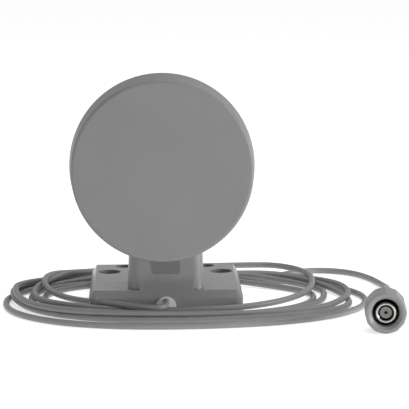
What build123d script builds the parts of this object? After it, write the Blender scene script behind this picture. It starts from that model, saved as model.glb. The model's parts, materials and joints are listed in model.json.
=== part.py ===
"""Directional patch antenna on a table stand, with a captive coax lead that ends in a threaded plug.

Millimetres. +Z is up and the antenna faces -Y. The origin is on the table, under the drum's middle,
midway between the drum's face and the base's back edge. Base, neck and hinge pieces are drawn about the
neck's middle and then set beside the drum's.
"""
from build123d import *
from math import cos, pi, radians, sin, tan
import os

# ---- Base plate shell ----
base_w = 62.5
base_d = 62.0
base_top = 10.0
base_wall = 2.0
base_corner_r = 3.0
bevel_in = 2.0
bevel_down = 3.1
skirt_gap = 0.8  # table to the skirt's lower edge

# ---- Steel plate under the base, and its feet ----
plate_t = 1.5
plate_recess = 0.5  # skirt's lower edge to the plate's underside
plate_fit = 0.2
foot_r = 3.4
foot_edge = 2.3  # foot's rim to the plate's edge
plate_screw_r = 1.25
plate_screw_inset = 5.2  # screw to the base's side
plate_screw_sink = 0.9
plate_screw_bite = 3.2
plate_post_wall = 1.5
plate_corner_r = 1.0
foot_round = 0.4
screw_clear = 0.1
side_screw_setback = 22.0  # base's front to the two side screws

# ---- Mounting holes: a wide pair and a narrow pair ----
mount_hole_r = 2.25
wide_pair_x = 47.0
wide_pair_setback = 19.0  # base's back to the hole
wide_well_r = 4.75
narrow_pair_x = 35.0
narrow_pair_setback = 6.2
narrow_well_r = 3.6
well_wall = 1.4
well_floor = 1.8

# ---- Neck ----
neck_x = 1.3  # drum's middle to the neck's
neck_w = 31.2
neck_d = 20.0
neck_setback = 4.0  # base's front to the neck's front
neck_corner_r = 4.4
neck_draft = 2.2  # degrees, each side
neck_wall = 2.0
neck_rear_wall = 4.6
apron_lift = 0.15  # apron over the bevel's top edge
apron_blend = 2.0  # length of its blend up the neck
apron_side = 0.8  # how far each side narrows towards the front
badge_w = 11.6
badge_h = 5.8
badge_t = 0.8
badge_proud = 0.2
badge_z = 18.9
badge_corner_r = 1.2

# ---- Hinge ----
hinge_z = 52.0
barrel_r = 6.5
barrel_w = 13.8
barrel_side_gap = 0.2
slot_clear = 2.0
bush_r = 4.45
bush_bore_r = 2.0
bush_flange_r = 5.4
bush_flange_t = 1.0
bush_reach = 3.4  # how far the bush enters the barrel
running_gap = 0.05
ear_hollow_half = 5.6
ear_hollow_drop = 4.0
ear_lead_room = 0.29  # hollow's width beyond the lead's
bolt_r = 2.0
bolt_head_r = 3.8
bolt_head_h = 2.1
bolt_head_round = 0.6
bolt_head_clear = 0.4
bolt_sink = 0.1
socket_r = 1.45
socket_depth = 1.3
nut_flats = 7.0
nut_t = 3.2
nut_depth = 2.0  # nut's outer face to the barrel's end
spring_washer_t = 0.6
friction_washer_t = 0.75
friction_washer_r = 4.5
cap_r = 5.8
cap_t = 1.5
cap_sink = 0.3
cap_skin = 0.8
cap_rim = 1.4
cap_round = 0.4

# ---- Drum: radome and rear cover ----
drum_z = 61.3
drum_gap = 3.0  # neck's front to the drum's back
drum_depth = 20.4
face_r = 35.9
seam_r = face_r + 1.1
seam_depth = 16.9
face_round = 1.3
drum_wall = 1.8
cover_t = 2.0
cover_round = 1.4
seal_t = 0.6
seal_inset = 0.4
seal_fit = 0.05
spigot_fit = 0.15
spigot_wall = 1.3
spigot_depth = 2.0
drum_post_r = 2.7
drum_post_ring = 30.8
drum_screw_r = 1.25
drum_screw_l = 8.0
screw_head_r = 2.3
screw_head_h = 1.2
arm_h = 11.0
rib_t = 3.0
rib_rise = 13.0
arm_root = 0.5  # how far the arm is let into the cover

# ---- Patch stack inside the drum ----
ground_r = 27.6
ground_t = 1.0
stack_gap = 2.4  # cover to ground plane
patch_r = 14.0
patch_t = 0.5
patch_gap = 2.5
director_r = 13.0
director_gap = 5.0
stack_ring = 9.0
stack_post_r = 3.0
stack_screw_bite = 2.6
spacer_r = 2.0
stack_screw_r = 1.0
stack_head_r = 1.9
stack_head_h = 1.0
feed_pin_r = 0.6
feed_hole_r = 2.0
lead_ferrule_r = 2.2
lead_ferrule_l = 2.0

# ---- Lead ----
lead_r = 1.3
exit_rise = 1.8  # bottom plate's top to the lead's underside
arch_r = 4.1
arch_over = 0.5  # bush over the lead
grommet_proud = 0.6
grommet_flange = 1.0
grommet_flange_t = 0.9
split_x = -6.0  # where the inner lead is divided, on the hinge axis
lead_low_bend = 24.0  # hinge slot's floor down to the first bend in the neck
lead_high_bend = 7.0
lead_side_gap = 0.2
neck_lead_radii = [8.0, 12.0, 10.0, 4.2]
head_lead_radius = 5.5

# ---- Neck's rear cover, and the clamp in the base ----
neck_cover_t = 1.6
neck_cover_w = 24.0
neck_cover_fit = 0.15
neck_opening_margin = 5.0
neck_screw_margin = 0.6  # screw head's rim to the cover's edge
neck_cover_inset = 0.2
neck_cover_round = 0.8
neck_screw_bite = 2.0
neck_cover_bottom = 11.2
neck_cover_top = 41.0
clamp_w = 16.0
clamp_d = 3.4
clamp_t = 1.2
clamp_screw_x = 5.5
clamp_screw_r = 0.9
clamp_screw_bite = 2.0
clamp_head_r = 1.6
clamp_head_h = 0.5
clamp_post_wall = 1.0
clamp_corner_r = 1.0
clamp_fit = 0.05
clamp_setback = 5.0  # base's front to the clamp

# ---- Free lead: coil on the table and the tail to the plug ----
coil_centre = (9.0, 10.2)
coil_size = (155.0, 123.4)
coil_corner_r = 42.0
coil_low_h = 2.8
coil_mid_centre = (7.3, 9.7)
coil_mid_size = (112.0, 97.0)
coil_mid_corner_r = 26.0
coil_mid_h = 5.2
coil_heap_w = 92.0  # the heap in front of the base, three strands high
coil_heap_h = 7.3
coil_left_gap = 5.2  # base's sides to the coil
coil_front_gap = 6.0
coil_right_gap = 14.8
coil_back_gap = 4.0
coil_hole_corner_r = 12.0

# ---- Plug ----
plug_tip = (85.9, -61.1)
plug_turn = 4.8  # degrees from straight ahead
nut_r = 8.2
nut_l = 12.5
nut_flat_depth = 0.22
nut_round = 0.9
nut_flats_count = 12
thread_r = 5.55
thread_l = 8.0
mouth_chamfer = 1.1
plug_seal_r = 5.0
plug_seal_t = 1.0
sleeve_r = 4.03
sleeve_bore_r = 3.05
sleeve_recess = 1.2
collar_r = 4.3
body_l = 17.0
retainer_r = 4.75
retainer_t = 0.9
retainer_at = 10.9
body_flats = 9.0
body_neck_r = 3.6
body_neck_l = 0.1
body_tail_r = 3.3
body_tail_l = 2.0
retainer_depth = 0.9
retainer_split = 0.8
retainer_fit = 0.05
seal_squeeze = 0.05
insulator_end = 2.0  # past the nut's back
contact_bore_l = 6.0
insulator_r = 2.3
insulator_recess = 1.8
contact_r = 1.1
contact_bore_r = 0.65
ferrule_r = 2.35
ferrule_l = 8.0
boot_start = 18.5
boot_end = 34.0
boot_wall = 0.5
boot_taper_l = 3.0

# ---- Places that follow from the sizes above ----
plate_bottom = skirt_gap + plate_recess
plate_top = plate_bottom + plate_t
ceiling = base_top - base_wall
exit_z = plate_top + exit_rise + lead_r
arch_top = exit_z + lead_r + arch_over
base_y = (drum_gap + drum_depth - neck_setback) / 2
front_y = base_y - base_d / 2
back_y = base_y + base_d / 2
clamp_y = front_y + clamp_setback
neck_front = front_y + neck_setback
hinge_y = neck_front + neck_d / 2
ear_r = neck_d / 2 - (hinge_z - base_top) * tan(radians(neck_draft))
ear_x = neck_w / 2 - (hinge_z - base_top) * tan(radians(neck_draft))
slot_w = barrel_w + 2 * barrel_side_gap
ear_inner_wall = ear_x - slot_w / 2 - neck_wall - 2 * lead_r - ear_lead_room
slot_floor = hinge_z - barrel_r - slot_clear
drum_back = neck_front - drum_gap
face_y = drum_back - drum_depth
inner_depth = drum_depth - cover_t
ground_depth = inner_depth - stack_gap - ground_t
patch_depth = ground_depth - patch_gap - patch_t
director_depth = patch_depth - director_gap - patch_t
channel_drop = drum_z - hinge_z
exit_y = front_y - grommet_proud
beside = Pos(neck_x, 0, 0)
stack_angles = (-90, 30, 150)
post_angles = (45, 135, 225, 315)
mount_pairs = (
    (wide_pair_x, back_y - wide_pair_setback, wide_well_r),
    (narrow_pair_x, back_y - narrow_pair_setback, narrow_well_r),
)
plate_screws_at = (
    (-base_w / 2 + plate_screw_inset, front_y + side_screw_setback),
    (base_w / 2 - plate_screw_inset, front_y + side_screw_setback),
    (0, back_y - plate_screw_inset),
)

drum_frame = Plane(origin=(0, face_y, drum_z), x_dir=(1, 0, 0), z_dir=(0, 1, 0)).location
plug_rear = (sin(radians(plug_turn)), cos(radians(plug_turn)))
plug_frame = Plane(
    origin=(plug_tip[0], plug_tip[1], nut_r),
    x_dir=(plug_rear[1], -plug_rear[0], 0),
    z_dir=(plug_rear[0], plug_rear[1], 0),
).location


# ---- Small helpers ----
def turned(*points):
    """Solid of revolution about Z of an outline of (radius, height) points."""
    return revolve(Plane.XZ * make_face(Polyline(*points, close=True)), Axis.Z)


def ring(outer, inner, bottom, top):
    return turned((inner, bottom), (outer, bottom), (outer, top), (inner, top))


def rod(radius, bottom, top, x=0, y=0):
    return Pos(x, y, bottom) * Cylinder(radius, top - bottom, align=(Align.CENTER, Align.CENTER, Align.MIN))


def block(x0, x1, y0, y1, z0, z1):
    return Pos(x0, y0, z0) * Box(x1 - x0, y1 - y0, z1 - z0, align=(Align.MIN, Align.MIN, Align.MIN))


def slab(width, depth, corner, bottom, top, x=0, y=0):
    """Upright rounded plate."""
    return extrude(Pos(x, y, bottom) * RectangleRounded(width, depth, corner), top - bottom)


def across(radius, x0, x1):
    """Rod along X on the hinge axis."""
    return Pos(x0, hinge_y, hinge_z) * Rot(0, 90, 0) * rod(radius, 0, x1 - x0)


def round_places(radius, angles):
    return [(radius * cos(radians(a)), radius * sin(radians(a))) for a in angles]


def screw(shank_r, shank_l, head_r, head_h):
    """Pan-head screw: head's underside at the origin, shank along +Z, cross recess in the head."""
    head = rod(head_r, -head_h, 0)
    head = fillet(head.edges().group_by(Axis.Z)[0], head_h * 0.45)
    recess = Box(head_r * 1.1, head_r * 0.28, head_h) + Box(head_r * 0.28, head_r * 1.1, head_h)
    tip = turned((0, shank_l), (shank_r, shank_l), (0, shank_l + shank_r))
    return head + rod(shank_r, 0, shank_l) + tip - Pos(0, 0, -head_h) * recess


def screw_room(shank_r, shank_l):
    """Pilot hole for that screw, its pointed end included."""
    return rod(shank_r, 0, shank_l) + turned((0, shank_l), (shank_r, shank_l), (0, shank_l + shank_r))


def bent_rod(points, radii, radius):
    """Round lead along straight runs joined by arcs."""
    path = FilletPolyline(*points, radius=radii)
    start = Plane(origin=path @ 0, z_dir=path % 0)
    return sweep(start * Circle(radius), path=path)


def group(pieces):
    return Compound(children=[solid for piece in pieces for solid in piece.solids()])


# ---- Base and neck ----
def base_shell():
    shell = slab(base_w, base_d, base_corner_r, skirt_gap, base_top, y=base_y)
    top = shell.faces().sort_by(Axis.Z)[-1]
    shell = chamfer(top.edges(), length=bevel_in, length2=bevel_down, reference=top)
    inner_r = max(base_corner_r - base_wall, 0.5)
    return shell - slab(base_w - 2 * base_wall, base_d - 2 * base_wall, inner_r, 0, ceiling, y=base_y)


def drafted(inset, bottom, top, rear_inset):
    """The neck's column, drawn in by an inset, between two heights."""
    ends = []
    for z in (bottom, top):
        lean = (z - base_top) * tan(radians(neck_draft))
        width = neck_w - 2 * (inset + lean)
        front = neck_front + inset + lean
        back = neck_front + neck_d - rear_inset - lean
        corner = max(neck_corner_r - inset, 0.6)
        ends.append(Pos(0, (front + back) / 2, z) * RectangleRounded(width, back - front, corner))
    return loft(ends, ruled=True)


def neck_column():
    top = hinge_z + ear_r + 1
    column = drafted(0, ceiling, top, 0)
    side = block(-neck_w, neck_w, neck_front - 2, neck_front + neck_d + 2, 0, hinge_z)
    side += across(ear_r, -neck_w, neck_w)
    return column & side


def neck_apron():
    """The base's front bevel carried up to the neck's front and blended into it."""
    lean = tan(radians(neck_draft))
    toe_z = base_top - bevel_down
    slope = bevel_in / (bevel_down + apron_lift)
    meet_z = (neck_setback + toe_z * slope - base_top * lean) / (slope - lean)
    meet_y = front_y + (meet_z - toe_z) * slope
    top = (meet_y + apron_blend * lean, meet_z + apron_blend)
    turn = apron_blend * (1 + lean**2) ** 0.5 / (1 + slope**2) ** 0.5
    low = (meet_y - turn * slope, meet_z - turn)
    heel_y = neck_front + base_wall
    outline = Curve() + [
        TangentArc(top, low, tangent=(-lean, -1)),
        Polyline(low, (front_y, toe_z), (front_y + base_wall, ceiling), (heel_y, ceiling), (heel_y, top[1]), top),
    ]
    half = neck_w / 2 - neck_corner_r
    block_of_it = Pos(half, 0, 0) * extrude(Plane.YZ * make_face(outline), -2 * half)
    narrow = half - apron_side
    plan = Polyline((-narrow, front_y), (narrow, front_y), (half, neck_front), (half, heel_y), (-half, heel_y),
                    (-half, neck_front), close=True)
    return block_of_it & extrude(make_face(plan), top[1] + 1)


def housing_hollows():
    """Everything cut out of the base and neck."""
    cuts = [drafted(neck_wall, plate_top, slot_floor - neck_wall, neck_rear_wall)]
    half = slot_w / 2
    cuts.append(block(-half, half, neck_front - 3, neck_front + neck_d + 3, slot_floor, hinge_z + neck_d))
    # hollow left ear, with the bush's hole and the cap's hole
    ear_in = slot_w / 2 + ear_inner_wall
    half = ear_hollow_half
    floor = slot_floor - ear_hollow_drop
    room = ear_in + 2 * lead_r + ear_lead_room
    cuts.append(block(-room, -ear_in, hinge_y - half, hinge_y + half, floor, hinge_z + half))
    cuts.append(across(bush_r, -ear_in - 1, -slot_w / 2 + 1))
    cuts.append(across(cap_r, -ear_x - 2, -ear_in - 2))
    # right ear: bolt hole and the recess for its head
    cuts.append(across(bolt_r + running_gap, 0, ear_x + 2))
    cuts.append(across(bolt_head_r + bolt_head_clear, bolt_seat_x(), ear_x + 2))
    # rebate and opening for the rear cover
    rebate_y = rear_rebate_y()
    half = neck_cover_w / 2 + neck_cover_fit
    low = neck_cover_bottom - neck_cover_fit
    high = neck_cover_top + neck_cover_fit
    margin = neck_opening_margin
    cuts.append(block(-half, half, rebate_y, neck_front + neck_d + 2, low, high))
    cuts.append(block(-half + margin, half - margin, hinge_y, rebate_y + 1, low + margin, high - margin))
    for z in neck_screw_heights():
        cuts.append(Pos(0, rebate_y, z) * Rot(90, 0, 0) * screw_room(plate_screw_r, neck_screw_bite))
    # arch in the front edge
    cuts.append(arch(arch_r, front_y - 1, front_y + base_wall + 0.5, 0))
    # recess for the badge
    floor_y = badge_floor_y()
    cuts.append(badge_block(floor_y, floor_y - 3))
    return cuts


def bolt_seat_x():
    return ear_x - bolt_head_h - spring_washer_t - bolt_sink


def rear_rebate_y():
    lean = (neck_cover_top - base_top) * tan(radians(neck_draft))
    return neck_front + neck_d - lean - neck_cover_t - neck_cover_inset


def neck_screw_heights():
    inset = screw_head_r + neck_screw_margin
    return (neck_cover_bottom + inset, neck_cover_top - inset)


def badge_floor_y():
    lean = (badge_z - base_top) * tan(radians(neck_draft))
    return neck_front + lean + badge_t - badge_proud


def badge_block(back, front):
    face = Plane(origin=(0, back, badge_z), x_dir=(1, 0, 0), z_dir=(0, -1, 0))
    return extrude(face * RectangleRounded(badge_w, badge_h, badge_corner_r), back - front)


def arch(radius, y0, y1, bottom):
    """Round-topped tunnel along Y, as wide as its round top."""
    centre_z = arch_top - arch_r
    top = Pos(0, y0, centre_z) * Rot(-90, 0, 0) * rod(radius, 0, y1 - y0)
    walls = block(-radius, radius, y0, y1, bottom, centre_z)
    return (top & block(-radius, radius, y0, y1, centre_z - 0.5, base_top)) + walls


def base_housing():
    body = base_shell() + neck_column() + neck_apron()
    # screw wells, plate-screw posts and clamp posts hang from the top wall
    for spread, y, well in mount_pairs:
        for x in (-spread / 2, spread / 2):
            body += rod(well + well_wall, plate_top, ceiling + 1, x, y)
    for x, y in plate_screws_at:
        body += rod(plate_screw_r + plate_post_wall, plate_top, ceiling + 1, x, y)
    for cut in housing_hollows():
        body -= cut
    for x in (-clamp_screw_x, clamp_screw_x):
        body += rod(clamp_screw_r + clamp_post_wall, exit_z - lead_r, ceiling + 1, x, clamp_y)
    for spread, y, well in mount_pairs:
        for x in (-spread / 2, spread / 2):
            body -= rod(well, plate_top + well_floor, base_top + 1, x, y)
            body -= rod(mount_hole_r, 0, base_top, x, y)
    for x, y in plate_screws_at:
        body -= Pos(x, y, plate_top) * screw_room(plate_screw_r, plate_screw_bite)
    for x in (-clamp_screw_x, clamp_screw_x):
        body -= Pos(x, clamp_y, exit_z - lead_r) * screw_room(clamp_screw_r, clamp_screw_bite)
    return body


def blank_badge():
    back = badge_floor_y()
    return badge_block(back, back - badge_t)


def neck_cover():
    y = rear_rebate_y()
    cover = block(-neck_cover_w / 2, neck_cover_w / 2, y, y + neck_cover_t, neck_cover_bottom, neck_cover_top)
    cover = fillet(cover.edges().filter_by(Axis.Y), neck_cover_round)
    hole = rod(plate_screw_r + screw_clear, -neck_cover_t, 1)
    hole += rod(screw_head_r + screw_clear, -neck_cover_t - 1, -neck_cover_t + screw_head_h)
    for z in neck_screw_heights():
        cover -= Pos(0, y, z) * Rot(90, 0, 0) * hole
    return cover


def neck_cover_screws():
    seat = rear_rebate_y() + neck_cover_t - screw_head_h
    length = seat - rear_rebate_y() + neck_screw_bite
    one = Rot(90, 0, 0) * screw(plate_screw_r, length, screw_head_r, screw_head_h)
    return group([Pos(0, seat, z) * one for z in neck_screw_heights()])


def bottom_plate():
    inset = 2 * (base_wall + plate_fit)
    plate = slab(base_w - inset, base_d - inset, plate_corner_r, plate_bottom, plate_top, y=base_y)
    for spread, y, _ in mount_pairs:
        for x in (-spread / 2, spread / 2):
            plate -= rod(mount_hole_r, 0, base_top, x, y)
    for x, y in plate_screws_at:
        plate -= rod(plate_screw_r + screw_clear, 0, base_top, x, y)
        plate -= rod(screw_head_r + screw_clear, 0, plate_bottom + plate_screw_sink, x, y)
    return plate


def plate_screws():
    seat = plate_bottom + plate_screw_sink
    one = screw(plate_screw_r, plate_top - seat + plate_screw_bite, screw_head_r, screw_head_h)
    return group([Pos(x, y, seat) * one for x, y in plate_screws_at])


def feet():
    x = base_w / 2 - base_wall - plate_fit - foot_edge - foot_r
    y = base_d / 2 - base_wall - plate_fit - foot_edge - foot_r
    foot = fillet(rod(foot_r, 0, plate_bottom).edges().group_by(Axis.Z)[0], foot_round)
    return group([Pos(sx * x, base_y + sy * y, 0) * foot for sx in (-1, 1) for sy in (-1, 1)])


def cable_grommet():
    back = front_y + base_wall
    plug = arch(arch_r, exit_y, back, skirt_gap)
    flange = arch(arch_r + grommet_flange, back, back + grommet_flange_t, plate_top)
    plug += flange & block(-neck_w, neck_w, front_y, back_y, plate_top, ceiling)
    hole = Pos(0, exit_y - 1, exit_z) * Rot(-90, 0, 0) * rod(lead_r, 0, neck_d)
    return plug - hole


def cable_clamp():
    top = exit_z - lead_r
    bar = block(-clamp_w / 2, clamp_w / 2, clamp_y - clamp_d / 2, clamp_y + clamp_d / 2, top - clamp_t, top)
    bar = fillet(bar.edges().filter_by(Axis.Z), clamp_corner_r)
    for x in (-clamp_screw_x, clamp_screw_x):
        bar -= rod(clamp_screw_r + clamp_fit, 0, base_top, x, clamp_y)
    return bar


def clamp_screws():
    seat = exit_z - lead_r - clamp_t
    one = screw(clamp_screw_r, clamp_t + clamp_screw_bite, clamp_head_r, clamp_head_h)
    return group([Pos(x, clamp_y, seat) * one for x in (-clamp_screw_x, clamp_screw_x)])


# ---- Hinge pieces ----
def hinge_bush():
    ear_in = slot_w / 2 + ear_inner_wall
    bush = across(bush_r, -ear_in, -barrel_w / 2 + bush_reach)
    bush += across(bush_flange_r, -ear_in - bush_flange_t, -ear_in)
    return bush - across(bush_bore_r, -ear_in - 3, 0)


def pivot_cap():
    outer = -ear_x + cap_sink
    cap = across(cap_r, outer, outer + cap_t)
    cap = fillet(cap.edges().group_by(Axis.X)[0], cap_round)
    return cap - across(cap_r - cap_rim, outer + cap_skin, outer + cap_t + 1)


def tilt_bolt():
    seat = bolt_seat_x() + spring_washer_t
    head = across(bolt_head_r, seat, seat + bolt_head_h)
    head = fillet(head.edges().group_by(Axis.X)[-1], bolt_head_round)
    socket = Rot(0, -90, 0) * extrude(RegularPolygon(socket_r, 6), socket_depth)
    socket = Pos(seat + bolt_head_h, hinge_y, hinge_z) * socket
    return head + across(bolt_r, barrel_w / 2 - nut_depth - nut_t, seat) - socket


def tilt_nut():
    start = barrel_w / 2 - nut_depth - nut_t
    nut = extrude(RegularPolygon(nut_flats / 2, 6, major_radius=False), nut_t)
    nut = Pos(start, hinge_y, hinge_z) * Rot(0, 90, 0) * nut
    return nut - across(bolt_r, start - 1, start + nut_t + 1)


def spring_washer():
    seat = bolt_seat_x()
    washer = across(bolt_head_r, seat, seat + spring_washer_t)
    return washer - across(bolt_r + screw_clear, seat - 1, seat + 2)


def friction_washer():
    start = barrel_w / 2 + barrel_side_gap - running_gap - friction_washer_t
    washer = across(friction_washer_r, start, start + friction_washer_t)
    return washer - across(bolt_r + screw_clear, start - 1, start + 2)


# ---- Drum ----
def radome():
    slope = (seam_r - face_r) / seam_depth
    shell = turned((0, 0), (face_r, 0), (seam_r, seam_depth), (0, seam_depth))
    shell = fillet(shell.edges().filter_by(GeomType.CIRCLE).sort_by(Axis.Z)[0], face_round)
    inner_r = face_r - drum_wall
    shell -= turned(
        (0, drum_wall),
        (inner_r + slope * drum_wall, drum_wall),
        (inner_r + slope * (seam_depth + 1), seam_depth + 1),
        (0, seam_depth + 1),
    )
    for x, y in round_places(drum_post_ring, post_angles):
        shell += rod(drum_post_r, drum_wall / 2, inner_depth, x, y)
        shell -= Pos(x, y, inner_depth) * Rot(180, 0, 0) * screw_room(drum_screw_r, drum_screw_l)
    return drum_frame * shell


def cover_seal():
    inner = seam_r - drum_wall + seal_fit
    return drum_frame * ring(seam_r - seal_inset, inner, seam_depth, seam_depth + seal_t)


def rear_cover():
    rim_start = seam_depth + seal_t
    spigot_r = seam_r - drum_wall - spigot_fit
    disc = rod(seam_r, rim_start, drum_depth)
    disc = fillet(disc.edges().filter_by(GeomType.CIRCLE).sort_by(Axis.Z)[-1], cover_round)
    disc -= rod(spigot_r - spigot_wall, 0, inner_depth)
    disc += ring(spigot_r, spigot_r - spigot_wall, seam_depth - spigot_depth, rim_start + 0.2)
    for x, y in round_places(stack_ring, stack_angles):
        disc += rod(stack_post_r, ground_depth + ground_t, inner_depth + 0.5, x, y)
        disc -= Pos(x, y, ground_depth + ground_t) * screw_room(stack_screw_r, stack_screw_bite)
    for x, y in round_places(drum_post_ring, post_angles):
        disc -= rod(drum_screw_r + screw_clear, 0, 2 * drum_depth, x, y)
        disc -= rod(screw_head_r + 2 * screw_clear, drum_depth - screw_head_h, 2 * drum_depth, x, y)
    cover = drum_frame * disc + beside * cover_arm()
    for cut in arm_hollows():
        cover -= beside * cut
    return cover


def cover_arm():
    """Arm, barrel and stiffening web."""
    half = barrel_w / 2
    arm = block(-half, half, drum_back - arm_root, hinge_y, hinge_z - arm_h / 2, hinge_z + arm_h / 2)
    return arm + across(barrel_r, -half, half) + arm_rib()


def arm_hollows():
    """Cable channel, bush bore, nut pocket, bolt hole and washer recess."""
    nut_in = barrel_w / 2 - nut_depth - nut_t
    pocket = extrude(RegularPolygon(nut_flats / 2 + running_gap, 6, major_radius=False), nut_t + running_gap)
    recess = friction_washer_t + running_gap - barrel_side_gap
    return [
        Pos(0, hinge_y, hinge_z) * Rot(90, 0, 0) * rod(bush_bore_r, 0, 2 * drum_depth),
        across(bush_r + running_gap, -barrel_w, nut_in),
        Pos(nut_in - running_gap, hinge_y, hinge_z) * Rot(0, 90, 0) * pocket,
        across(bolt_r + running_gap, 0, barrel_w),
        across(friction_washer_r + screw_clear, barrel_w / 2 - recess, barrel_w),
    ]


def arm_rib():
    """Stiffening web above the arm, up the back of the drum."""
    top = hinge_z + arm_h / 2 - 1
    outline = Polyline(
        (drum_back - arm_root, top),
        (hinge_y - 2, top),
        (drum_back + rib_t / 2, top + rib_rise),
        (drum_back - arm_root, top + rib_rise),
        close=True,
    )
    return Pos(rib_t / 2, 0, 0) * extrude(Plane.YZ * make_face(outline), -rib_t)


def cover_screws():
    seat = drum_depth - screw_head_h
    length = drum_screw_l + seat - inner_depth
    one = Rot(180, 0, 0) * screw(drum_screw_r, length, screw_head_r, screw_head_h)
    return drum_frame * group([Pos(x, y, seat) * one for x, y in round_places(drum_post_ring, post_angles)])


def ground_plane():
    disc = rod(ground_r, ground_depth, ground_depth + ground_t)
    for x, y in round_places(stack_ring, stack_angles):
        disc -= rod(stack_screw_r, 0, drum_depth, x, y)
    return drum_frame * (disc - rod(feed_hole_r, 0, drum_depth, neck_x, channel_drop))


def patch_disc(radius, depth):
    disc = rod(radius, depth, depth + patch_t)
    for x, y in round_places(stack_ring, stack_angles):
        disc -= rod(stack_screw_r, 0, drum_depth, x, y)
    return disc


def patch_element():
    disc = patch_disc(patch_r, patch_depth) - rod(feed_pin_r, 0, drum_depth, neck_x, channel_drop)
    return drum_frame * disc


def director_element():
    return drum_frame * patch_disc(director_r, director_depth)


def spacers(start, end):
    tubes = [
        rod(spacer_r, start, end, x, y) - rod(stack_screw_r, start - 1, end + 1, x, y)
        for x, y in round_places(stack_ring, stack_angles)
    ]
    return drum_frame * group(tubes)


def element_screws():
    length = ground_depth + ground_t + stack_screw_bite - director_depth
    one = screw(stack_screw_r, length, stack_head_r, stack_head_h)
    places = round_places(stack_ring, stack_angles)
    return drum_frame * group([Pos(x, y, director_depth) * one for x, y in places])


def feed_pin():
    return drum_frame * rod(feed_pin_r, patch_depth, ground_depth + ground_t, neck_x, channel_drop)


def lead_ferrule():
    start = ground_depth + ground_t
    tube = Pos(neck_x, channel_drop, 0) * ring(lead_ferrule_r, lead_r, start, start + lead_ferrule_l)
    return drum_frame * tube


# ---- Leads held inside the object ----
def neck_lead():
    rise_x = -(slot_w / 2 + ear_inner_wall + lead_r + ear_lead_room - lead_side_gap)
    points = [
        (0, exit_y, exit_z),
        (0, hinge_y, exit_z),
        (0, hinge_y, slot_floor - lead_low_bend),
        (rise_x, hinge_y, slot_floor - lead_high_bend),
        (rise_x, hinge_y, hinge_z),
        (split_x, hinge_y, hinge_z),
    ]
    return bent_rod(points, neck_lead_radii, lead_r)


def head_lead():
    start = face_y + ground_depth + ground_t
    points = [(split_x, hinge_y, hinge_z), (0, hinge_y, hinge_z), (0, start, hinge_z)]
    return bent_rod(points, [head_lead_radius], lead_r)


# ---- Free lead ----
def cord_exit():
    length = exit_y - (front_y - coil_front_gap)
    return Pos(0, exit_y, exit_z) * Rot(90, 0, 0) * rod(lead_r, 0, length)


def cord_coil():
    left = neck_x - base_w / 2 - coil_left_gap
    right = neck_x + base_w / 2 + coil_right_gap
    front = front_y - coil_front_gap
    back = back_y + coil_back_gap
    centre = ((left + right) / 2, (front + back) / 2)
    low = slab(*coil_size, coil_corner_r, 0, coil_low_h, *coil_centre)
    mid = slab(*coil_mid_size, coil_mid_corner_r, 0, coil_mid_h, *coil_mid_centre)
    heap = slab(*coil_mid_size, coil_mid_corner_r, 0, coil_heap_h, *coil_mid_centre)
    half = coil_heap_w / 2
    heap &= block(neck_x - half, neck_x + half, front - coil_size[1], front + 1, 0, coil_heap_h)
    hole = slab(right - left, back - front, coil_hole_corner_r, -1, coil_heap_h + 1, *centre)
    return low + mid + heap - hole


def behind_plug(distance):
    """Point on the plug's axis, that far behind its front."""
    return (plug_tip[0] + plug_rear[0] * distance, plug_tip[1] + plug_rear[1] * distance, nut_r)


tail_points = [
    (82.5, 56.0, 1.4),
    (91.0, 42.0, 1.4),
    (94.8, 25.0, 1.4),
    (94.4, 7.0, 4.2),
    behind_plug(boot_end + 17.0),
    behind_plug(boot_end),
]


def corner_radii(points):
    """Each arc takes up most of the shorter of its two runs."""
    radii = []
    for before, corner, after in zip(points, points[1:], points[2:]):
        run_in = Vector(corner) - Vector(before)
        run_out = Vector(after) - Vector(corner)
        turn = radians(run_in.get_angle(run_out))
        radii.append(0.45 * min(run_in.length, run_out.length) / tan(turn / 2))
    return radii


def cord_tail(coil):
    radii = corner_radii(tail_points)
    tube = bent_rod(tail_points, radii, lead_r)
    runs = [(Vector(b) - Vector(a)).length for a, b in zip(tail_points, tail_points[1:])]
    path = FilletPolyline(*tail_points, radius=radii)
    print("tail runs", [round(r, 1) for r in runs], "radii", [round(r, 1) for r in radii])
    expected = pi * lead_r**2 * path.length
    print("tail length", round(path.length, 1), "volume", round(tube.volume, 1), "of", round(expected, 1))
    return tube - coil


# ---- Plug ----
def coupling_nut():
    floor = thread_l + plug_seal_t
    nut = turned((0, 0), (nut_r, 0), (nut_r, nut_l), (0, nut_l))
    nut = fillet(nut.edges().filter_by(GeomType.CIRCLE), nut_round)
    flats = extrude(RegularPolygon(nut_r - nut_flat_depth, nut_flats_count, major_radius=False), nut_l)
    nut = nut & flats
    nut -= turned(
        (0, -1),
        (thread_r + mouth_chamfer, -1),
        (thread_r + mouth_chamfer, 0),
        (thread_r, mouth_chamfer),
        (thread_r, thread_l),
        (plug_seal_r, thread_l),
        (plug_seal_r, floor),
        (collar_r + running_gap, floor),
        (collar_r + running_gap, nut_l + 1),
        (0, nut_l + 1),
    )
    groove_end = retainer_at + retainer_t + retainer_fit
    groove = ring(retainer_r + retainer_fit, collar_r, retainer_at - retainer_fit, groove_end)
    return plug_frame * (nut - groove)


def plug_gasket():
    end = thread_l + plug_seal_t - seal_squeeze
    return plug_frame * ring(plug_seal_r - seal_squeeze, sleeve_r, thread_l, end)


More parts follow.
